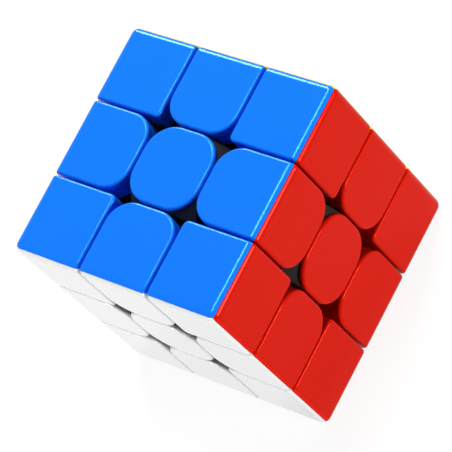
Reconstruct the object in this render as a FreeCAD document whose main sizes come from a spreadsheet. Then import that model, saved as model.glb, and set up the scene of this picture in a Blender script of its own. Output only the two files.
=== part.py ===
import FreeCAD, Part
import Sketcher
import os

# Twisty puzzle cube, 3 x 3 x 3.  Origin at the middle of the cube, +Z up, millimetres.
# Every piece is drawn once, at the back/right/top of the cube, then placed at each of its stations.

SIZES = [
    ("cube_side", 56.0),
    ("piece_gap", 0.4),
    ("shell_wall", 1.2),
    ("mitre_gap", 0.06),
    ("centre_corner", 6.7),
    ("edge_corner", 6.0),
    ("corner_corner", 1.3),
    ("rim_round", 0.65),
    ("outer_round", 1.9),
    ("ball_share", 0.357),
    ("plug_share", 0.4375),
    ("skirt_depth", 5.5),
    ("groove_drop", 2.2),
    ("groove_height", 0.3),
    ("groove_depth", 0.25),
    ("cap_thick", 1.0),
    ("boss_depth", 2.6),
    ("boss_inset", 2.2),
    ("flare_lead", 0.7),
    ("flare_slope", 0.72),
    ("flare_corner", 1.0),
    ("inner_cut_share", 0.1036),
    ("fit_clearance", 0.1),
    ("foot_wall", 1.4),
    ("foot_corner", 5.4),
    ("arm_radius", 3.0),
    ("arm_reach", 2.2),
    ("bore_clearance", 0.2),
    ("floor_thick", 1.5),
    ("stem_wall", 1.3),
    ("spring_length", 6.5),
    ("spring_pitch", 1.3),
    ("wire_radius", 0.35),
    ("washer_thick", 0.8),
    ("screw_radius", 1.5),
    ("screw_bite", 4.5),
    ("thread_clearance", 0.05),
    ("head_radius", 2.8),
    ("head_height", 2.0),
    ("recess_width", 0.7),
    ("recess_length", 3.2),
    ("recess_depth", 1.2),
]

document = FreeCAD.newDocument("twisty_cube")
sheet = document.addObject("Spreadsheet::Sheet", "Sizes")
for row, (size_name, size_value) in enumerate(SIZES, start=1):
    sheet.set("A%d" % row, size_name)
    sheet.set("B%d" % row, str(size_value))
    sheet.setAlias("B%d" % row, size_name)
document.recompute()

# Distances from the middle of the cube, as rules on the sheet.
FACE = "(Sizes.cube_side / 2)"
HALF_GAP = "(Sizes.piece_gap / 2)"
HIGH = "(Sizes.cube_side / 6 + Sizes.piece_gap / 2)"
LOW = "(Sizes.cube_side / 6 - Sizes.piece_gap / 2)"
INNER_HIGH = "(Sizes.cube_side * Sizes.inner_cut_share + Sizes.piece_gap / 2)"
INNER_LOW = "(Sizes.cube_side * Sizes.inner_cut_share - Sizes.piece_gap / 2)"
BALL = "(Sizes.cube_side * Sizes.ball_share)"
PLUG = "(Sizes.cube_side * Sizes.plug_share)"
WALL = "Sizes.shell_wall"
SLACK = "Sizes.fit_clearance"
SEAT = "(Sizes.shell_wall + Sizes.fit_clearance)"
CUP = "(Sizes.shell_wall + Sizes.fit_clearance + Sizes.foot_wall)"
FOOT_SIDE = "(Sizes.fit_clearance + Sizes.foot_wall)"
SKIRT_LOW = "(Sizes.cube_side / 2 - Sizes.skirt_depth)"
FOOT_TOP = "(Sizes.cube_side / 2 - Sizes.skirt_depth - Sizes.fit_clearance)"
GROOVE_TOP = "(Sizes.cube_side / 2 - Sizes.groove_drop)"
GROOVE_LOW = "(Sizes.cube_side / 2 - Sizes.groove_drop - Sizes.groove_height)"
CAP_LOW = "(Sizes.cube_side / 2 - Sizes.cap_thick)"
BASE_TOP = "(Sizes.cube_side / 2 - Sizes.cap_thick - Sizes.fit_clearance)"

# Heights along the post of a centre piece.
ARM_TOP = "(Sizes.cube_side * Sizes.inner_cut_share + Sizes.arm_reach)"
FLOOR_LOW = "(%s + Sizes.bore_clearance)" % ARM_TOP
FLOOR_TOP = "(%s + Sizes.floor_thick)" % FLOOR_LOW
WASHER_LOW = "(%s + Sizes.spring_length)" % FLOOR_TOP
HEAD_LOW = "(%s + Sizes.washer_thick)" % WASHER_LOW
STEM_RADIUS = "(%s - 0.2)" % INNER_LOW
WELL_RADIUS = "(%s - Sizes.stem_wall)" % STEM_RADIUS

TINY = 1e-4
REACH = 40.0


def bind(item, rules):
    for property_name, rule in rules.items():
        item.setExpression(property_name, rule)
    return item


def box(name, low, high):
    item = document.addObject("Part::Box", name)
    for side, start, end in zip(("Length", "Width", "Height"), low, high):
        item.setExpression(side, "%s - (%s)" % (end, start))
    for axis, start in zip("xyz", low):
        item.setExpression("Placement.Base." + axis, start)
    return item


def ball(name, radius):
    return bind(document.addObject("Part::Sphere", name), {"Radius": radius})


def rod(name, radius, low, high):
    item = document.addObject("Part::Cylinder", name)
    rules = {"Radius": radius, "Height": "%s - (%s)" % (high, low), "Placement.Base.z": low}
    return bind(item, rules)


def cut(name, base, tool):
    item = document.addObject("Part::Cut", name)
    item.Base = base
    item.Tool = tool
    return item


def common(name, *shapes):
    item = document.addObject("Part::MultiCommon", name)
    item.Shapes = list(shapes)
    return item


def fuse(name, *shapes):
    item = document.addObject("Part::MultiFuse", name)
    item.Shapes = list(shapes)
    return item


def gather(name, items, placement=FreeCAD.Placement()):
    item = document.addObject("Part::Compound", name)
    item.Links = items
    item.Placement = placement
    return item


def solid_block(name, low, high):
    body = document.addObject("PartDesign::Body", name)
    start = body.newObject("PartDesign::AdditiveBox", name + "_start")
    for side, near, far in zip(("Length", "Width", "Height"), low, high):
        start.setExpression(side, "%s - (%s)" % (far, near))
    for axis, near in zip("xyz", low):
        start.setExpression("Placement.Base." + axis, near)
    document.recompute()
    return body


def round_edges(body, name, radius, chosen):
    last = body.Tip
    names = ["Edge%d" % (place + 1) for place in chosen(last.Shape)]
    fillet = body.newObject("PartDesign::Fillet", name)
    fillet.Base = (last, names)
    fillet.setExpression("Radius", radius)
    document.recompute()


def flat_at(shape, axis, end):
    limit = getattr(shape.BoundBox, axis + end)

    def test(item):
        room = item.BoundBox
        near = abs(getattr(room, axis + "Min") - limit) < TINY
        return near and abs(getattr(room, axis + "Max") - limit) < TINY

    return test


def crease(*sides):
    """Edges lying on every one of the named sides of a block, such as ("X", "Max")."""
    def chosen(shape):
        tests = [flat_at(shape, axis, end) for axis, end in sides]
        return [place for place, edge in enumerate(shape.Edges) if all(test(edge) for test in tests)]

    return chosen


def creases(*choices):
    def chosen(shape):
        found = []
        for choice in choices:
            found.extend(choice(shape))
        return found

    return chosen


def open_rim(outer_axes, round_over):
    """Edges around the whole outside skin of a block, leaving out the lowest ones."""
    def chosen(shape):
        room = shape.BoundBox

        def is_outside(face):
            middle = face.CenterOfMass
            over = [getattr(middle, axis.lower()) > getattr(room, axis + "Max") - TINY for axis in outer_axes]
            near = [
                getattr(face.BoundBox, axis + "Min") > getattr(room, axis + "Max") - round_over - TINY
                for axis in outer_axes
            ]
            return any(over) or sum(near) >= 2

        outside = [face for face in shape.Faces if is_outside(face)]
        at_bottom = flat_at(shape, "Z", "Min")
        found = []
        for place, edge in enumerate(shape.Edges):
            owners = sum(1 for face in outside if any(edge.isSame(other) for other in face.Edges))
            if owners == 1 and not at_bottom(edge):
                found.append(place)
        return found

    return chosen


def axes_turn(x_axis, y_axis, z_axis):
    turn = FreeCAD.Rotation(x_axis, y_axis, z_axis, "ZXY")
    return FreeCAD.Placement(FreeCAD.Vector(0, 0, 0), turn)


def minus(*parts):
    return " - ".join(parts)


RIGHT = FreeCAD.Vector(1, 0, 0)
BACK = FreeCAD.Vector(0, 1, 0)
TOP = FreeCAD.Vector(0, 0, 1)
NEXT_THIRD = axes_turn(BACK, TOP, RIGHT)
LAST_THIRD = axes_turn(TOP, RIGHT, BACK)
OTHER_HALF = axes_turn(-RIGHT, TOP, BACK)

outer_round = sheet.get("outer_round")

# Balls that part the inner feet from the outer pieces.
feet_ball = ball("feet_ball", "%s - %s" % (BALL, HALF_GAP))
under_ball = ball("under_ball", "%s + %s" % (BALL, HALF_GAP))
hollow_ball = ball("hollow_ball", "%s - %s - Sizes.foot_wall" % (BALL, HALF_GAP))
roof_ball = ball("roof_ball", "%s + %s + Sizes.foot_wall" % (BALL, HALF_GAP))
plug_ball = ball("plug_ball", PLUG)


def mitre_wedge(name, width_low, width_high, taper_both):
    """Room above the 45 degree planes in which two colours meet."""
    item = document.addObject("Part::Wedge", name)
    share = "Sizes.mitre_gap * 0.7071"
    far = "Sizes.cube_side"
    rules = {"Xmin": "0.0", "X2min": "0.0", "Ymin": "1.0", "Ymax": far}
    rules["Xmax"] = "1.0 - %s" % share
    rules["X2max"] = "%s - %s" % (far, share)
    rules["Zmin"] = width_low
    rules["Z2min"] = width_low
    rules["Zmax"] = rules["Xmax"] if taper_both else width_high
    rules["Z2max"] = rules["X2max"] if taper_both else width_high
    bind(item, rules)
    item.Placement = NEXT_THIRD
    return item


# Everything above the lower end of a shell's skirt, and the slab that holds its groove.
skirt_room = box("skirt_room", ["-" + FACE, "-" + FACE, SKIRT_LOW], [FACE, FACE, FACE])
groove_slab = box("groove_slab", ["-" + FACE, "0.0", GROOVE_LOW], [FACE, FACE, GROOVE_TOP])


# ---------------------------------------------------------------- corner piece
corner_block = solid_block("corner_block", [HIGH] * 3, [FACE] * 3)
round_edges(corner_block, "corner_block_inner", "Sizes.corner_corner", crease(("X", "Min"), ("Y", "Min")))
corner_outer_edges = creases(
    crease(("X", "Max"), ("Y", "Max")),
    crease(("X", "Max"), ("Z", "Max")),
    crease(("Y", "Max"), ("Z", "Max")),
)
round_edges(corner_block, "corner_block_outer", "Sizes.outer_round", corner_outer_edges)
round_edges(corner_block, "corner_block_rim", "Sizes.rim_round", open_rim("XYZ", outer_round))

corner_cavity = box("corner_cavity", [HIGH + " + " + WALL] * 3, [minus(FACE, WALL)] * 3)
corner_hollow_block = cut("corner_hollow_block", corner_block, corner_cavity)
corner_groove_core = box("corner_groove_core", [HIGH + " + Sizes.groove_depth"] * 3, [FACE] * 3)
corner_groove = cut("corner_groove", groove_slab, corner_groove_core)
corner_skirt = cut("corner_skirt", corner_hollow_block, corner_groove)
corner_wedge = mitre_wedge("corner_wedge", "0.0", "0.0", True)
corner_shell = common("corner_shell", corner_skirt, skirt_room, corner_wedge)
corner_shell_next = gather("corner_shell_next", [corner_shell], NEXT_THIRD)
corner_shell_last = gather("corner_shell_last", [corner_shell], LAST_THIRD)

corner_root_box = box("corner_root_box", [INNER_HIGH] * 3, [FACE] * 3)
corner_root = common("corner_root", corner_root_box, feet_ball)
corner_body = box("corner_body", [HIGH + " + " + SLACK] * 3, [FOOT_TOP] * 3)
corner_plug_box = box("corner_plug_box", [HIGH + " + " + SEAT] * 3, [minus(FACE, SEAT)] * 3)
corner_plug = common("corner_plug", corner_plug_box, plug_ball)
corner_solid = fuse("corner_solid", corner_root, corner_body, corner_plug)
corner_root_room = box("corner_root_room", [INNER_HIGH + " + Sizes.foot_wall"] * 3, [FACE] * 3)
corner_root_hollow = common("corner_root_hollow", corner_root_room, hollow_ball)
corner_body_room = box("corner_body_room", [HIGH + " + " + FOOT_SIDE] * 3, [FOOT_TOP + " - Sizes.foot_wall"] * 3)
corner_cup = box("corner_cup", [HIGH + " + " + CUP] * 3, [FACE] * 3)
corner_room = fuse("corner_room", corner_root_hollow, corner_body_room, corner_cup)
corner_foot = cut("corner_foot", corner_solid, corner_room)


# ------------------------------------------------------------------ edge piece
def edge_profile(name, inset, corner, reach=None):
    low = ["-(%s) + %s" % (LOW, inset), HIGH + " + " + inset, HIGH + " + " + inset]
    far = reach or minus(FACE, inset)
    high = [minus(LOW, inset), far, far]
    body = solid_block(name, low, high)
    inner = creases(crease(("X", "Min"), ("Y", "Min")), crease(("X", "Max"), ("Y", "Min")))
    round_edges(body, name + "_inner", corner, inner)
    return body


edge_block = edge_profile("edge_block", "0.0", "Sizes.edge_corner")
round_edges(edge_block, "edge_block_outer", "Sizes.outer_round", crease(("Y", "Max"), ("Z", "Max")))
round_edges(edge_block, "edge_block_rim", "Sizes.rim_round", open_rim("YZ", outer_round))

edge_cavity = edge_profile("edge_cavity", WALL, "Sizes.edge_corner - Sizes.shell_wall")
edge_cavity_other = gather("edge_cavity_other", [edge_cavity], OTHER_HALF)
edge_cavity_room = common("edge_cavity_room", edge_cavity, edge_cavity_other)
edge_hollow_block = cut("edge_hollow_block", edge_block, edge_cavity_room)
groove_corner = "Sizes.edge_corner - Sizes.groove_depth"
edge_groove_core = edge_profile("edge_groove_core", "Sizes.groove_depth", groove_corner)
edge_groove = cut("edge_groove", groove_slab, edge_groove_core)
edge_skirt = cut("edge_skirt", edge_hollow_block, edge_groove)
edge_wedge = mitre_wedge("edge_wedge", "-" + FACE, FACE, False)
edge_shell = common("edge_shell", edge_skirt, skirt_room, edge_wedge)
edge_shell_other = gather("edge_shell_other", [edge_shell], OTHER_HALF)

edge_body_side = edge_profile("edge_body_side", SLACK, "Sizes.foot_corner", FOOT_TOP)
edge_body_other = gather("edge_body_other", [edge_body_side], OTHER_HALF)
edge_body = common("edge_body", edge_body_side, edge_body_other)
edge_plug_side = edge_profile("edge_plug_side", SEAT, "Sizes.edge_corner - Sizes.shell_wall")
edge_plug_other = gather("edge_plug_other", [edge_plug_side], OTHER_HALF)
edge_plug = common("edge_plug", edge_plug_side, edge_plug_other, plug_ball)
edge_upper_solid = fuse("edge_upper_solid", edge_body, edge_plug)
edge_upper = cut("edge_upper", edge_upper_solid, under_ball)
edge_side_low = "-" + INNER_LOW
edge_neck_box = box(
    "edge_neck_box",
    [edge_side_low, HIGH + " + " + SLACK, HIGH + " + " + SLACK],
    [INNER_LOW, FOOT_TOP, FOOT_TOP],
)
edge_root_box = box("edge_root_box", [edge_side_low, INNER_HIGH, INNER_HIGH], [INNER_LOW, FACE, FACE])
edge_root = common("edge_root", edge_root_box, feet_ball)
edge_solid = fuse("edge_solid", edge_upper, edge_neck_box, edge_root)
edge_root_side = minus(INNER_LOW, "Sizes.foot_wall")
edge_root_low = INNER_HIGH + " + Sizes.foot_wall"
edge_root_room = box(
    "edge_root_room",
    ["-(%s)" % edge_root_side, edge_root_low, edge_root_low],
    [edge_root_side, FACE, FACE],
)
edge_root_hollow = common("edge_root_hollow", edge_root_room, hollow_ball)
edge_neck_low = HIGH + " + " + SLACK + " + Sizes.foot_wall"
edge_neck_room = box(
    "edge_neck_room",
    ["-(%s)" % edge_root_side, edge_neck_low, edge_neck_low],
    [edge_root_side, FACE, FACE],
)
edge_cup_side = minus(LOW, CUP)
edge_cup_box = box(
    "edge_cup_box",
    ["-(%s)" % edge_cup_side, HIGH + " + " + CUP, HIGH + " + " + CUP],
    [edge_cup_side, FACE, FACE],
)
edge_body_room_side = minus(LOW, FOOT_SIDE)
edge_body_room = box(
    "edge_body_room",
    ["-(%s)" % edge_body_room_side, HIGH + " + " + FOOT_SIDE, HIGH + " + " + FOOT_SIDE],
    [edge_body_room_side, FOOT_TOP + " - Sizes.foot_wall", FOOT_TOP + " - Sizes.foot_wall"],
)
edge_upper_room = fuse("edge_upper_room", edge_cup_box, edge_body_room)
edge_cup = cut("edge_cup", edge_upper_room, roof_ball)
edge_room = fuse("edge_room", edge_root_hollow, edge_neck_room, edge_cup)
edge_foot = cut("edge_foot", edge_solid, edge_room)


# ---------------------------------------------------------------- centre piece
def centre_profile(name, inset, corner, bottom, top):
    side = minus(LOW, inset)
    low = ["-(%s)" % side, "-(%s)" % side, bottom]
    body = solid_block(name, low, [side, side, top])
    uprights = [crease(("X", x_end), ("Y", y_end)) for x_end in ("Min", "Max") for y_end in ("Min", "Max")]
    round_edges(body, name + "_uprights", corner, creases(*uprights))
    return body


def top_rim(shape):
    return crease(("Z", "Max"))(shape)


cap_plate = centre_profile("cap_plate", "0.0", "Sizes.centre_corner", CAP_LOW, FACE)
round_edges(cap_plate, "cap_plate_rim", "Sizes.rim_round", top_rim)
boss_low = minus(CAP_LOW, "Sizes.boss_depth")
boss_corner = "Sizes.centre_corner - Sizes.boss_inset"
cap_boss = centre_profile("cap_boss", "Sizes.boss_inset", boss_corner, boss_low, CAP_LOW)
boss_room_inset = "(Sizes.boss_inset + Sizes.shell_wall)"
boss_room_corner = "Sizes.centre_corner - Sizes.boss_inset - Sizes.shell_wall"
boss_room = centre_profile("boss_room", boss_room_inset, boss_room_corner, boss_low, CAP_LOW)
cap_ring = cut("cap_ring", cap_boss, boss_room)
cap = fuse("cap", cap_plate, cap_ring)

base_corner = "Sizes.centre_corner - Sizes.fit_clearance"
base_post = centre_profile("base_post", SLACK, base_corner, HIGH, BASE_TOP)
# The post flares towards its corners, which shows through the holes between the coloured shells.
flare_block = centre_profile("flare_block", SLACK, "Sizes.flare_corner", HIGH, BASE_TOP)
flare_cone = document.addObject("Part::Cone", "flare_cone")
cone_top = "%s - Sizes.fit_clearance + Sizes.flare_lead" % LOW
cone_height = "(%s - %s)" % (BASE_TOP, HIGH)
cone_bottom = "%s + Sizes.flare_slope * %s" % (cone_top, cone_height)
bind(flare_cone, {"Radius1": cone_bottom, "Radius2": cone_top, "Height": cone_height})
bind(flare_cone, {"Placement.Base.z": HIGH})
base_flare = common("base_flare", flare_block, flare_cone)
base_block = fuse("base_block", base_post, base_flare)
base_upper = cut("base_upper", base_block, under_ball)
stem = rod("stem", STEM_RADIUS, INNER_HIGH, "%s + %s + Sizes.foot_wall" % (BALL, HALF_GAP))
base_solid = fuse("base_solid", base_upper, stem)
base_bore = rod("base_bore", "Sizes.arm_radius + Sizes.bore_clearance", "0.0", FLOOR_LOW)
base_hole = rod("base_hole", "Sizes.screw_radius + Sizes.bore_clearance", "0.0", FACE)
base_well = rod("base_well", WELL_RADIUS, FLOOR_TOP, FACE)
socket_inset = "(Sizes.boss_inset - Sizes.fit_clearance)"
socket_corner = "Sizes.centre_corner - Sizes.boss_inset + Sizes.fit_clearance"
socket_low = "%s + %s + Sizes.foot_wall" % (BALL, HALF_GAP)
base_socket = centre_profile("base_socket", socket_inset, socket_corner, socket_low, FACE)
base_room = fuse("base_room", base_bore, base_hole, base_well, base_socket)
centre_base = cut("centre_base", base_solid, base_room)

# ------------------------------------------------------- core, screws, springs
core_side = minus(INNER_LOW, "0.4")
core_box = box("core_box", ["-(%s)" % core_side] * 3, [core_side] * 3)
core_ball = ball("core_ball", "(%s) * 1.42" % core_side)
core_middle = common("core_middle", core_box, core_ball)
arm_up = rod("arm_up", "Sizes.arm_radius", "-" + ARM_TOP, ARM_TOP)
arm_across = gather("arm_across", [arm_up], NEXT_THIRD)
arm_along = gather("arm_along", [arm_up], LAST_THIRD)
core_solid = fuse("core_solid", core_middle, arm_up, arm_across, arm_along)

pilot_radius = "Sizes.screw_radius + Sizes.thread_clearance"
pilot = rod("pilot", pilot_radius, ARM_TOP + " - Sizes.screw_bite - Sizes.thread_clearance", FACE)
shank = rod("shank", "Sizes.screw_radius", ARM_TOP + " - Sizes.screw_bite", HEAD_LOW)
head_rod = rod("head_rod", "Sizes.head_radius", HEAD_LOW, HEAD_LOW + " + Sizes.head_height")
head_dome = ball("head_dome", "Sizes.head_radius * 1.35")
head_dome.setExpression("Placement.Base.z", HEAD_LOW + " + Sizes.head_height - Sizes.head_radius * 1.35")
head = common("head", head_rod, head_dome)
screw_solid = fuse("screw_solid", shank, head)
recess_low = HEAD_LOW + " + Sizes.head_height - Sizes.recess_depth"
recess_high = HEAD_LOW + " + Sizes.head_height + 1.0"
short = "Sizes.recess_width / 2"
long = "Sizes.recess_length / 2"
recess_one = box("recess_one", ["-" + long, "-" + short, recess_low], [long, short, recess_high])
recess_two = box("recess_two", ["-" + short, "-" + long, recess_low], [short, long, recess_high])
recess = fuse("recess", recess_one, recess_two)
screw = cut("screw", screw_solid, recess)

washer_disc = rod("washer_disc", WELL_RADIUS + " - 0.2", WASHER_LOW, HEAD_LOW)
washer_hole = rod("washer_hole", "Sizes.screw_radius + Sizes.bore_clearance", "0.0", FACE)
washer = cut("washer", washer_disc, washer_hole)

spring = document.addObject("PartDesign::Body", "spring")
wire = spring.newObject("Sketcher::SketchObject", "wire")
origin_planes = {plane.Role: plane for plane in spring.Origin.OriginFeatures}
wire.AttachmentSupport = (origin_planes["XZ_Plane"], [""])
wire.MapMode = "FlatFace"
wire.addGeometry(Part.Circle(FreeCAD.Vector(3.3, 10.0, 0), FreeCAD.Vector(0, 0, 1), 0.35), False)
wire_rules = [
    ("reach", Sketcher.Constraint("DistanceX", -1, 1, 0, 3, 3.3), WELL_RADIUS + " - Sizes.wire_radius * 2 - 0.1"),
    ("rise", Sketcher.Constraint("DistanceY", -1, 1, 0, 3, 10.0), FLOOR_TOP + " + Sizes.wire_radius + 0.05"),
    ("thickness", Sketcher.Constraint("Radius", 0, 0.35), "Sizes.wire_radius"),
]
for rule_name, constraint, rule in wire_rules:
    place = wire.addConstraint(constraint)
    wire.renameConstraint(place, rule_name)
    wire.setExpression("Constraints." + rule_name, rule)
document.recompute()
coil = spring.newObject("PartDesign::AdditiveHelix", "coil")
coil.Profile = wire
coil.ReferenceAxis = (origin_planes["Z_Axis"], [""])
coil.Mode = 0
coil.setExpression("Pitch", "Sizes.spring_pitch")
coil.setExpression("Height", "Sizes.spring_length - Sizes.wire_radius * 2 - 0.1")
document.recompute()

# ------------------------------------------------------------ stations and nodes
SIDES = {
    "top": TOP,
    "bottom": -TOP,
    "front": -BACK,
    "back": BACK,
    "left": -RIGHT,
    "right": RIGHT,
}


def side_placement(side):
    z_axis = SIDES[side]
    x_axis = BACK if abs(z_axis.x) > 0.5 else RIGHT
    return axes_turn(x_axis, z_axis.cross(x_axis), z_axis)


def edge_placement(first, second):
    z_axis = SIDES[first]
    y_axis = SIDES[second]
    return axes_turn(y_axis.cross(z_axis), y_axis, z_axis)


def corner_placement(first, second, third):
    z_axis = SIDES[first]
    x_axis = SIDES[third]
    y_axis = SIDES[second]
    if x_axis.cross(y_axis).dot(z_axis) < 0:
        x_axis, y_axis = y_axis, x_axis
    return axes_turn(x_axis, y_axis, z_axis)


UP_DOWN = ["top", "bottom"]
FRONT_BACK = ["front", "back"]
LEFT_RIGHT = ["left", "right"]

nodes = []
for side in SIDES:
    nodes.append(gather(side + "_cap", [cap], side_placement(side)))
    nodes.append(gather(side + "_centre_base", [centre_base], side_placement(side)))

edge_stations = [(first, second) for first in UP_DOWN for second in FRONT_BACK + LEFT_RIGHT]
edge_stations += [(first, second) for first in FRONT_BACK for second in LEFT_RIGHT]
for station in edge_stations:
    name = "edge_" + "_".join(station)
    placement = edge_placement(*station)
    nodes.append(gather(name + "_shells", [edge_shell, edge_shell_other], placement))
    nodes.append(gather(name + "_foot", [edge_foot], placement))

for first in UP_DOWN:
    for second in FRONT_BACK:
        for third in LEFT_RIGHT:
            name = "corner_" + "_".join((first, second, third))
            placement = corner_placement(first, second, third)
            shells = [corner_shell, corner_shell_next, corner_shell_last]
            nodes.append(gather(name + "_shells", shells, placement))
            nodes.append(gather(name + "_foot", [corner_foot], placement))


def around(name, item):
    copies = [gather(name + "_" + side, [item], side_placement(side)) for side in SIDES]
    return gather(name, copies)


pilots = around("pilots", pilot)
core = cut("core", core_solid, pilots)
nodes.append(core)
nodes.append(around("screws", screw))
nodes.append(around("washers", washer))
nodes.append(around("springs", spring))

document.recompute()

for item in document.Objects:
    for word in ("Invalid", "Error"):
        if word in item.State:
            raise RuntimeError("%s is %s" % (item.Label, word))

os.makedirs("parts", exist_ok=True)
for node in nodes:
    shape = Part.makeCompound(node.Shape.Solids)
    if shape.isNull() or not shape.isValid() or not shape.Solids:
        raise RuntimeError("%s has no sound shape" % node.Label)
    shape.exportStep("parts/%s.step" % node.Label)
    FreeCAD.Console.PrintMessage("%s: %d solids, %.1f mm3\n" % (node.Label, len(shape.Solids), shape.Volume))
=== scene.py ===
import math

import bmesh
import bpy
from mathutils import Matrix, Vector


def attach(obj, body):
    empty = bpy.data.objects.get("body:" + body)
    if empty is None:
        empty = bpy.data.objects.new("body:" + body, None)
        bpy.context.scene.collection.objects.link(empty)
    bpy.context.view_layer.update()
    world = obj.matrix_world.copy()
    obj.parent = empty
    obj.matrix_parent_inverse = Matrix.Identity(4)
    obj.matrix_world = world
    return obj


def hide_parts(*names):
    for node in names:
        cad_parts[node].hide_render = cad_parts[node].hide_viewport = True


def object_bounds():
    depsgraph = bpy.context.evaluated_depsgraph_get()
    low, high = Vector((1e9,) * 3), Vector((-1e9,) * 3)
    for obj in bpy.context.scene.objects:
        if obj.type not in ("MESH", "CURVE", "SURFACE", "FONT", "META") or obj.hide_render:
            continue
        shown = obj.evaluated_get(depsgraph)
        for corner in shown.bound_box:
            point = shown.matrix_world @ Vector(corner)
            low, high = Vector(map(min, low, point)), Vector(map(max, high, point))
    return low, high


# Twisty puzzle cube. The coloured shells, the caps and the springs are modelled here, at the CAD's own
# sizes; the feet, bases, core, screws and washers keep their CAD meshes.
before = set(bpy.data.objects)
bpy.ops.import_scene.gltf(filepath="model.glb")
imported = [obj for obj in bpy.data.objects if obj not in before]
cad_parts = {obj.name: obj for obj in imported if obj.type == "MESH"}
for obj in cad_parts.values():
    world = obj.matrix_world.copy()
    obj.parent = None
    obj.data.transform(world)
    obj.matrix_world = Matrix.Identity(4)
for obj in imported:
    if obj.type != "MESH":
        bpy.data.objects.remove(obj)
cad_low, cad_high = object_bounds()

MM = 0.001

# ---------------------------------------------------------------- sizes of the cube, in metres
FACE = cad_high.z
LAYER_GAP = 0.4 * MM
CUT = FACE / 3
PIECE_LOW = CUT + LAYER_GAP / 2
PIECE_HALF = CUT - LAYER_GAP / 2
WALL = 1.2 * MM
MITRE_GAP = 0.06 * MM
MITRE_DROP = MITRE_GAP * math.sqrt(0.5)
CAP_CORNER = 6.7 * MM
EDGE_CORNER = 6.0 * MM
CORNER_CORNER = 1.3 * MM
OUTER_ROUND = 1.9 * MM
RIM_ROUND = 0.65 * MM
SKIRT_LOW = FACE - 5.5 * MM
GROOVE_TOP = FACE - 2.2 * MM
GROOVE_HEIGHT = 0.3 * MM
GROOVE_DEPTH = 0.25 * MM
CAP_THICK = 1.0 * MM
BOSS_DEPTH = 2.6 * MM
BOSS_INSET = 2.2 * MM
INNER_CUT = 0.2072 * FACE
# The coil stands in the well of the centre base: 0.8 mm inside its wall and just above its floor.
COIL_RADIUS = INNER_CUT - 2.5 * MM
COIL_LOW = INNER_CUT + 4.3 * MM
COIL_HEIGHT = 5.7 * MM
COIL_PITCH = 1.3 * MM
COIL_TURN_STEPS = 48
WIRE_RADIUS = 0.35 * MM
WIRE_SIDES = 14
# How near counts as touching, how finely rounds are stepped, and from what angle an edge is sharp.
TOUCH = 0.001 * MM
CUT_SLACK = 1e-8
ROUND_STEPS = 6
CORNER_STEPS = 20
SHARP_ANGLE = math.radians(40)

# Outward direction of each face. Blue is on top, white in front and red on the right.
SIDES = {
    "top": Vector((0, 0, 1)),
    "bottom": Vector((0, 0, -1)),
    "front": Vector((0, -1, 0)),
    "back": Vector((0, 1, 0)),
    "left": Vector((-1, 0, 0)),
    "right": Vector((1, 0, 0)),
}


# ---------------------------------------------------------------- camera
camera_data = bpy.data.cameras.new("studio_camera")
camera_data.sensor_width = 36.0
camera_data.lens = 244.06
camera_data.clip_start = 0.01
camera_data.clip_end = 20.0
camera = bpy.data.objects.new("studio_camera", camera_data)
bpy.context.scene.collection.objects.link(camera)
camera_back = Vector((0.584307, -0.214658, 0.782628)).normalized()
camera_place = Vector((0.385985, -0.142774, 0.518514))
camera_right = Vector((0.768059, 0.457683, -0.447897))
camera_right = (camera_right - camera_right.dot(camera_back) * camera_back).normalized()
camera_up = camera_back.cross(camera_right)
camera_turn = Matrix((camera_right, camera_up, camera_back)).transposed().to_4x4()
camera.matrix_world = Matrix.Translation(camera_place) @ camera_turn
bpy.context.scene.camera = camera


# ---------------------------------------------------------------- materials
def linear(hex_colour):
    """An sRGB hex colour as linear red, green, blue and alpha."""
    channels = [int(hex_colour[place : place + 2], 16) / 255 for place in (1, 3, 5)]
    return [c / 12.92 if c <= 0.04045 else ((c + 0.055) / 1.055) ** 2.4 for c in channels] + [1.0]


def add_node(tree, kind, settings=None, links=None):
    """A node of one kind, with its settings, its socket values, and links from other nodes' outputs."""
    node = tree.nodes.new(kind)
    for name, value in (settings or {}).items():
        if isinstance(name, int) or name in node.inputs:
            node.inputs[name].default_value = value
        else:
            setattr(node, name, value)
    for name, output in (links or {}).items():
        tree.links.new(output, node.inputs[name])
    return node


def new_material(name):
    material = bpy.data.materials.new(name)
    material.use_nodes = True
    material.node_tree.nodes.clear()
    return material, material.node_tree


def moulded_abs(name, colour, shade, highlight):
    """Injection-moulded ABS from a spark-eroded mould: a soft satin face with a grain too fine to count."""
    material, tree = new_material(name)
    place = add_node(tree, "ShaderNodeTexCoord").outputs["Object"]
    # Grain of the mould is about 0.05 mm across, drawn at 0.2 mm so that it shows.
    grain = add_node(tree, "ShaderNodeTexNoise", {"Scale": 1 / (0.2 * MM), "Detail": 2.0}, {"Vector": place})
    # Pigment drifts a little over about 12 mm as the plastic flows.
    flow = add_node(tree, "ShaderNodeTexNoise", {"Scale": 1 / (12 * MM), "Detail": 3.0}, {"Vector": place})
    tint = add_node(
        tree,
        "ShaderNodeMix",
        {"data_type": "RGBA", 6: linear(colour), 7: linear(shade)},
        {0: flow.outputs["Fac"]},
    )
    satin = add_node(
        tree,
        "ShaderNodeMapRange",
        {"From Min": 0.3, "From Max": 0.7, "To Min": 0.16, "To Max": 0.2},
        {"Value": grain.outputs["Fac"]},
    )
    bump = add_node(
        tree,
        "ShaderNodeBump",
        {"Strength": 0.02, "Distance": 0.01 * MM},
        {"Height": grain.outputs["Fac"]},
    )
    surface = add_node(
        tree,
        "ShaderNodeBsdfPrincipled",
        {"IOR": 1.53, "Specular IOR Level": 0.5, "Specular Tint": linear(highlight)},
        {"Base Color": tint.outputs[2], "Roughness": satin.outputs[0], "Normal": bump.outputs[0]},
    )
    add_node(tree, "ShaderNodeOutputMaterial", links={"Surface": surface.outputs[0]})
    return material


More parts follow.
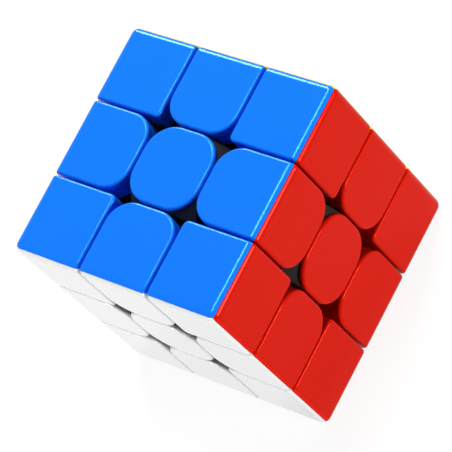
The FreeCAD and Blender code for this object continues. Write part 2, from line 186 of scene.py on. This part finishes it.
def black_nylon(name, colour, shade):
    """Moulded black nylon that slides on itself: satin, a little polished where it has rubbed."""
    material, tree = new_material(name)
    place = add_node(tree, "ShaderNodeTexCoord").outputs["Object"]
    # Rubbed patches are a few millimetres across.
    rubbing = add_node(
        tree, "ShaderNodeTexNoise", {"Scale": 1 / (2.5 * MM), "Detail": 4.0}, {"Vector": place}
    )
    tint = add_node(
        tree,
        "ShaderNodeMix",
        {"data_type": "RGBA", 6: linear(colour), 7: linear(shade)},
        {0: rubbing.outputs["Fac"]},
    )
    satin = add_node(
        tree,
        "ShaderNodeMapRange",
        {"From Min": 0.35, "From Max": 0.65, "To Min": 0.45, "To Max": 0.6},
        {"Value": rubbing.outputs["Fac"]},
    )
    surface = add_node(
        tree,
        "ShaderNodeBsdfPrincipled",
        {"IOR": 1.53, "Specular IOR Level": 0.3},
        {"Base Color": tint.outputs[2], "Roughness": satin.outputs[0]},
    )
    add_node(tree, "ShaderNodeOutputMaterial", links={"Surface": surface.outputs[0]})
    return material


def bright_steel(name, colour, roughness, patch_size):
    """Bright steel, plated, drawn or stamped: metallic, with a polish that is a little uneven."""
    material, tree = new_material(name)
    place = add_node(tree, "ShaderNodeTexCoord").outputs["Object"]
    patches = add_node(
        tree, "ShaderNodeTexNoise", {"Scale": 1 / patch_size, "Detail": 3.0}, {"Vector": place}
    )
    polish = add_node(
        tree,
        "ShaderNodeMapRange",
        {"From Min": 0.3, "From Max": 0.7, "To Min": roughness - 0.06, "To Max": roughness + 0.06},
        {"Value": patches.outputs["Fac"]},
    )
    surface = add_node(
        tree,
        "ShaderNodeBsdfPrincipled",
        {"Metallic": 1.0, "Base Color": linear(colour)},
        {"Roughness": polish.outputs[0]},
    )
    add_node(tree, "ShaderNodeOutputMaterial", links={"Surface": surface.outputs[0]})
    return material


SHELL_PLASTIC = {
    "top": moulded_abs("moulded_abs_blue", "#147AFF", "#1278FB", "#74FFFF"),
    "bottom": moulded_abs("moulded_abs_green", "#12B33C", "#10A938", "#B0FFC8"),
    "right": moulded_abs("moulded_abs_red", "#DC1800", "#D81600", "#FF4038"),
    "left": moulded_abs("moulded_abs_orange", "#FF7A12", "#F77510", "#FFC8A0"),
    "front": moulded_abs("moulded_abs_white", "#E8E8E8", "#E5E5E5", "#F4FFFF"),
    "back": moulded_abs("moulded_abs_yellow", "#FFD80F", "#F8D10D", "#FFF4C0"),
}
INNER_PLASTIC = black_nylon("moulded_nylon_black", "#2C2A27", "#34322E")
SCREW_STEEL = bright_steel("zinc_plated_screw_steel", "#B9BBC0", 0.28, 0.6 * MM)
SPRING_STEEL = bright_steel("drawn_spring_steel", "#A4A6AA", 0.32, 0.3 * MM)
WASHER_STEEL = bright_steel("stamped_washer_steel", "#C2C3C6", 0.3, 0.8 * MM)


# ---------------------------------------------------------------- shell modelling
def block(low, high):
    """A closed box with outward faces."""
    shape = bmesh.new()
    middle = (Vector(low) + Vector(high)) / 2
    size = Vector(high) - Vector(low)
    place = Matrix.Translation(middle) @ Matrix.Diagonal((*size, 1.0))
    bmesh.ops.create_cube(shape, size=1.0, matrix=place)
    return shape


def round_over(shape, edges, radius, segments):
    bmesh.ops.bevel(
        shape,
        geom=edges,
        offset=radius,
        segments=segments,
        profile=0.5,
        affect="EDGES",
        material=-1,
        clamp_overlap=False,
    )


def uprights(shape, wanted):
    """Upright edges of a box whose place is wanted."""
    return [
        edge
        for edge in shape.edges
        if (edge.verts[0].co - edge.verts[1].co).to_2d().length < TOUCH and wanted(edge.verts[0].co)
    ]


def is_upright(face):
    return abs(face.normal.z) < 0.01


def looks_down(face):
    return face.normal.z < -0.9


def is_wall(face, wall_faces):
    return is_upright(face) and wall_faces(face.normal)


def rim(shape, wall_faces):
    """Edges between the inner side walls and the skin that shows on the finished cube."""
    found = []
    shape.normal_update()
    for edge in shape.edges:
        sides = [is_wall(face, wall_faces) for face in edge.link_faces]
        lowest = all(looks_down(face) for face in edge.link_faces if not is_wall(face, wall_faces))
        if sum(sides) == 1 and not lowest:
            found.append(edge)
    return found


def cut_away(shape, point, normal):
    """Removes what lies on the side that the normal points to, and leaves the cut open."""
    everything = shape.verts[:] + shape.edges[:] + shape.faces[:]
    bmesh.ops.bisect_plane(
        shape, geom=everything, dist=CUT_SLACK, plane_co=point, plane_no=normal, clear_outer=True
    )


def close_flat(shape, normal):
    """Fills the open outline left by a flat cut, round any hollow inside it."""
    outline = [edge for edge in shape.edges if edge.is_boundary]
    bmesh.ops.triangle_fill(shape, use_beauty=True, edges=outline, normal=normal)


def remove_underside(shape):
    shape.normal_update()
    underside = [face for face in shape.faces if looks_down(face)]
    bmesh.ops.delete(shape, geom=underside, context="FACES_ONLY")


def cut_groove(shape):
    """The fine groove that runs round a skirt where the mould parts."""
    for height in (GROOVE_TOP, GROOVE_TOP - GROOVE_HEIGHT):
        everything = shape.verts[:] + shape.edges[:] + shape.faces[:]
        bmesh.ops.bisect_plane(
            shape, geom=everything, dist=CUT_SLACK, plane_co=(0, 0, height), plane_no=(0, 0, 1)
        )
    middle = GROOVE_TOP - GROOVE_HEIGHT / 2
    band = [
        face
        for face in shape.faces
        if abs(face.calc_center_median().z - middle) < GROOVE_HEIGHT / 4 and is_upright(face)
    ]
    bmesh.ops.inset_region(shape, faces=band, thickness=0.0, depth=-GROOVE_DEPTH, use_even_offset=True)


def finish_shell(name, outer, inner, mitre_directions):
    """A coloured shell: outer skin, hollow behind it, flat lip and mitred sides."""
    remove_underside(outer)
    remove_underside(inner)
    cut_groove(outer)
    bmesh.ops.reverse_faces(inner, faces=inner.faces[:])
    hollow = bpy.data.meshes.new(name + "_hollow")
    inner.to_mesh(hollow)
    inner.free()
    outer.from_mesh(hollow)
    bpy.data.meshes.remove(hollow)
    close_flat(outer, Vector((0, 0, -1)))
    for direction in mitre_directions:
        cut_away(outer, Vector((0, 0, MITRE_DROP)), direction)
        close_flat(outer, direction)
    mesh = bpy.data.meshes.new(name)
    outer.to_mesh(mesh)
    outer.free()
    return mesh


def corner_shell():
    """The top shell of the corner piece at the right, back and top."""
    outer = block([PIECE_LOW, PIECE_LOW, SKIRT_LOW], [FACE] * 3)
    inward = uprights(outer, lambda co: co.x < CUT * 2 and co.y < CUT * 2)
    round_over(outer, inward, CORNER_CORNER, ROUND_STEPS)
    near = FACE - TOUCH
    outward = [
        edge
        for edge in outer.edges
        if sum(all(vertex.co[axis] > near for vertex in edge.verts) for axis in range(3)) == 2
    ]
    round_over(outer, outward, OUTER_ROUND, ROUND_STEPS)
    walls = rim(outer, lambda normal: normal.x < -0.01 or normal.y < -0.01)
    round_over(outer, walls, RIM_ROUND, ROUND_STEPS)
    inner = block([PIECE_LOW + WALL, PIECE_LOW + WALL, SKIRT_LOW], [FACE - WALL] * 3)
    return finish_shell("corner_shell", outer, inner, [Vector((1, 0, -1)), Vector((0, 1, -1))])


def edge_block(inset, corner):
    """A box of the edge shell's outline, drawn in by the inset, its two inner corners rounded."""
    shape = block(
        [-PIECE_HALF + inset, PIECE_LOW + inset, SKIRT_LOW],
        [PIECE_HALF - inset, FACE - inset, FACE - inset],
    )
    round_over(shape, uprights(shape, lambda co: co.y < CUT * 2), corner, CORNER_STEPS)
    return shape


def edge_shell():
    """The top shell of the edge piece at the back and top."""
    outer = edge_block(0.0, EDGE_CORNER)
    near = FACE - TOUCH
    outward = [
        edge for edge in outer.edges if all(v.co.y > near and v.co.z > near for v in edge.verts)
    ]
    round_over(outer, outward, OUTER_ROUND, ROUND_STEPS)
    walls = rim(outer, lambda normal: normal.y < 0.5)
    round_over(outer, walls, RIM_ROUND, ROUND_STEPS)
    inner = edge_block(WALL, EDGE_CORNER - WALL)
    return finish_shell("edge_shell", outer, inner, [Vector((0, 1, -1))])


def centre_cap():
    """The clip-on cap of the top centre piece: a rounded plate with a square locating ring below."""
    shape = block([-PIECE_HALF, -PIECE_HALF, FACE - CAP_THICK], [PIECE_HALF, PIECE_HALF, FACE])
    round_over(shape, uprights(shape, lambda co: True), CAP_CORNER, CORNER_STEPS)
    round_over(shape, rim(shape, lambda normal: True), RIM_ROUND, ROUND_STEPS)
    shape.normal_update()
    underside = [face for face in shape.faces if looks_down(face)]
    bmesh.ops.inset_region(shape, faces=underside, thickness=BOSS_INSET, use_even_offset=True)
    ring = bmesh.ops.inset_region(shape, faces=underside, thickness=WALL, use_even_offset=True)["faces"]
    boss = bmesh.ops.extrude_face_region(shape, geom=ring)["geom"]
    lowered = [item for item in boss if isinstance(item, bmesh.types.BMVert)]
    bmesh.ops.translate(shape, verts=lowered, vec=(0, 0, -BOSS_DEPTH))
    bmesh.ops.delete(shape, geom=ring, context="FACES_ONLY")
    mesh = bpy.data.meshes.new("centre_cap")
    shape.to_mesh(mesh)
    shape.free()
    return mesh


def spring_coil():
    """Drawn wire wound round the post of the top centre piece, from the floor of its well to the washer."""
    shape = bmesh.new()
    start = Matrix.Translation((COIL_RADIUS, 0, COIL_LOW)) @ Matrix.Rotation(math.pi / 2, 4, "X")
    bmesh.ops.create_circle(shape, segments=WIRE_SIDES, radius=WIRE_RADIUS, matrix=start)
    turns = COIL_HEIGHT / COIL_PITCH
    steps = round(turns * COIL_TURN_STEPS)
    bmesh.ops.spin(
        shape,
        geom=shape.edges[:],
        cent=(0, 0, 0),
        axis=(0, 0, 1),
        dvec=(0, 0, COIL_HEIGHT / steps),
        angle=turns * math.tau,
        steps=steps,
    )
    wire_ends = [edge for edge in shape.edges if edge.is_boundary]
    bmesh.ops.edgeloop_fill(shape, edges=wire_ends)
    bmesh.ops.recalc_face_normals(shape, faces=shape.faces[:])
    mesh = bpy.data.meshes.new("spring_coil")
    shape.to_mesh(mesh)
    shape.free()
    return mesh


# ---------------------------------------------------------------- placing the shells
def turn_to(x_axis, y_axis, z_axis):
    """The turn that carries a pattern's own axes onto the three given ones."""
    return Matrix((x_axis, y_axis, z_axis)).transposed().to_4x4()


def piece(name, pattern, turn, body, node, material):
    """A turned copy of a pattern that rides on a body and stands for a CAD node."""
    mesh = pattern.copy()
    mesh.name = name
    mesh.transform(turn)
    mesh.materials.append(material)
    for polygon in mesh.polygons:
        polygon.use_smooth = True
    mesh.set_sharp_from_angle(angle=SHARP_ANGLE)
    item = bpy.data.objects.new(name, mesh)
    bpy.context.scene.collection.objects.link(item)
    even = item.modifiers.new("flat_faces_stay_flat", "WEIGHTED_NORMAL")
    even.keep_sharp = True
    even.weight = 100
    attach(item, body)
    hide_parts(node)
    return item


corner_pattern = corner_shell()
edge_pattern = edge_shell()
cap_pattern = centre_cap()

UP_DOWN = ["top", "bottom"]
FRONT_BACK = ["front", "back"]
LEFT_RIGHT = ["left", "right"]

for side, outward in SIDES.items():
    across = SIDES["back"] if side in LEFT_RIGHT else SIDES["right"]
    turn = turn_to(across, outward.cross(across), outward)
    name = side + "_cap"
    cap = piece(name + "_shell", cap_pattern, turn, side + "_cap_clip", name, SHELL_PLASTIC[side])

edge_stations = [(first, second) for first in UP_DOWN for second in FRONT_BACK + LEFT_RIGHT]
edge_stations += [(first, second) for first in FRONT_BACK for second in LEFT_RIGHT]
for station in edge_stations:
    body = "edge_" + "_".join(station)
    for side, other in (station, station[::-1]):
        turn = turn_to(SIDES[other].cross(SIDES[side]), SIDES[other], SIDES[side])
        name = body + "_" + side + "_shell"
        item = piece(name, edge_pattern, turn, body, body + "_shells", SHELL_PLASTIC[side])

for first in UP_DOWN:
    for second in FRONT_BACK:
        for third in LEFT_RIGHT:
            body = "corner_" + "_".join((first, second, third))
            for side in (first, second, third):
                others = [other for other in (first, second, third) if other != side]
                x_axis, y_axis = (SIDES[other] for other in others)
                if x_axis.cross(y_axis).dot(SIDES[side]) < 0:
                    x_axis, y_axis = y_axis, x_axis
                turn = turn_to(x_axis, y_axis, SIDES[side])
                name = body + "_" + side + "_shell"
                item = piece(name, corner_pattern, turn, body, body + "_shells", SHELL_PLASTIC[side])

six_coils = bmesh.new()
for outward in SIDES.values():
    across = SIDES["right"] if abs(outward.x) < 0.5 else SIDES["back"]
    coil = spring_coil()
    coil.transform(turn_to(across, outward.cross(across), outward))
    six_coils.from_mesh(coil)
    bpy.data.meshes.remove(coil)
coil_pattern = bpy.data.meshes.new("six_coils")
six_coils.to_mesh(coil_pattern)
six_coils.free()
springs = piece("spring_coils", coil_pattern, Matrix.Identity(4), "core", "springs", SPRING_STEEL)

for mesh in (corner_pattern, edge_pattern, cap_pattern, coil_pattern):
    bpy.data.meshes.remove(mesh)


# ---------------------------------------------------------------- CAD parts that stay
def finish_node(name, material):
    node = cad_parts[name]
    for slot in node.material_slots:
        slot.material = material


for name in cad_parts:
    if name == "core" or name.endswith(("_foot", "_centre_base")):
        finish_node(name, INNER_PLASTIC)
finish_node("screws", SCREW_STEEL)
finish_node("washers", WASHER_STEEL)


# ---------------------------------------------------------------- floor, world and lamps
# Share of the white background in the cube's reflections. The near share is for the floor in front and
# on the left. The dim share is for the floor on the right, which the red face mirrors, and for the
# world, which the blue face mirrors: more would pale them.
NEAR_SHARE = 0.85
DIM_SHARE = 0.25
# The floor's half side, its drop below the cube, and each lamp's distance from the cube's middle.
FLOOR_HALF = 3.0
FLOOR_DROP = 0.05 * MM
LAMP_DISTANCE = 0.9


def background_rays(tree, share):
    """1 for rays that show the background, a share for its reflections, 0 for light on the cube."""
    rays = add_node(tree, "ShaderNodeLightPath")
    mirrored = add_node(
        tree,
        "ShaderNodeMath",
        {"operation": "MAXIMUM"},
        {0: rays.outputs["Is Glossy Ray"], 1: rays.outputs["Is Transmission Ray"]},
    )
    dimmed = add_node(
        tree, "ShaderNodeMath", {"operation": "MULTIPLY"}, {0: mirrored.outputs[0], 1: share}
    )
    return add_node(
        tree,
        "ShaderNodeMath",
        {"operation": "MAXIMUM"},
        {0: rays.outputs["Is Camera Ray"], 1: dimmed.outputs[0]},
    )


def floor_material():
    """Matt white paper: white to the eye, darker in the shadow, dimmer where the right face mirrors it."""
    material, tree = new_material("matt_white_paper")
    coordinates = add_node(tree, "ShaderNodeTexCoord")
    axes = add_node(tree, "ShaderNodeSeparateXYZ", links={0: coordinates.outputs["Object"]})
    share = add_node(
        tree,
        "ShaderNodeMapRange",
        {"From Min": 12 * MM, "From Max": 34 * MM, "To Min": NEAR_SHARE, "To Max": DIM_SHARE},
        {"Value": axes.outputs["X"]},
    )
    rays = background_rays(tree, share.outputs[0])
    strength = add_node(tree, "ShaderNodeMath", {"operation": "MULTIPLY", 1: 0.9}, {0: rays.outputs[0]})
    surface = add_node(
        tree,
        "ShaderNodeBsdfPrincipled",
        {
            "Base Color": linear("#6E6E6E"),
            "Roughness": 0.9,
            "Specular IOR Level": 0.0,
            "Emission Color": linear("#FFFFFF"),
        },
        {"Emission Strength": strength.outputs[0]},
    )
    add_node(tree, "ShaderNodeOutputMaterial", links={"Surface": surface.outputs[0]})
    return material


floor_shape = bmesh.new()
bmesh.ops.create_grid(floor_shape, x_segments=1, y_segments=1, size=FLOOR_HALF)
bmesh.ops.translate(floor_shape, verts=floor_shape.verts[:], vec=(0, 0, cad_low.z - FLOOR_DROP))
floor_mesh = bpy.data.meshes.new("floor")
floor_shape.to_mesh(floor_mesh)
floor_shape.free()
floor_mesh.materials.append(floor_material())
floor = bpy.data.objects.new("floor", floor_mesh)
bpy.context.scene.collection.objects.link(floor)

world = bpy.data.worlds.new("white_studio")
bpy.context.scene.world = world
world.use_nodes = True
world.node_tree.nodes.clear()
fill = add_node(world.node_tree, "ShaderNodeBackground", {"Color": (1, 1, 1, 1), "Strength": 0.004})
white = add_node(world.node_tree, "ShaderNodeBackground", {"Color": (1, 1, 1, 1), "Strength": 1.0})
mirrored_share = add_node(world.node_tree, "ShaderNodeValue")
mirrored_share.outputs[0].default_value = DIM_SHARE
sky = add_node(
    world.node_tree,
    "ShaderNodeMixShader",
    links={
        0: background_rays(world.node_tree, mirrored_share.outputs[0]).outputs[0],
        1: fill.outputs[0],
        2: white.outputs[0],
    },
)
add_node(world.node_tree, "ShaderNodeOutputWorld", links={"Surface": sky.outputs[0]})


def soft_lamp(name, direction, size, power):
    """A softbox that looks at the middle of the cube: its size is in metres, its power in watts."""
    data = bpy.data.lights.new(name, "AREA")
    data.shape = "RECTANGLE"
    data.size, data.size_y = size
    data.energy = power
    lamp = bpy.data.objects.new(name, data)
    towards = Vector(direction).normalized()
    lamp.location = towards * LAMP_DISTANCE
    lamp.rotation_euler = towards.to_track_quat("Z", "Y").to_euler()
    bpy.context.scene.collection.objects.link(lamp)


# Three lamps light the top face and draw the light lines on its rounds: along the right edges, at the
# right back corners and along the back edges.
soft_lamp("key_softbox", (-0.10, 0.22, 0.965), (0.24, 0.18), 2.7)
soft_lamp("strip_softbox", (-0.24, 0.56, 0.79), (0.24, 0.40), 4.75)
soft_lamp("back_softbox", (-0.585, 0.65, 0.48), (0.26, 0.26), 4.1)
# Two low lamps light the right and the front face without a mirror image of themselves.
soft_lamp("right_softbox", (1.0, 0.12, 0.10), (0.24, 0.22), 7.4)
soft_lamp("front_softbox", (-0.16, -1.0, 0.06), (0.30, 0.14), 7.8)

bpy.context.scene.view_settings.view_transform = "Standard"
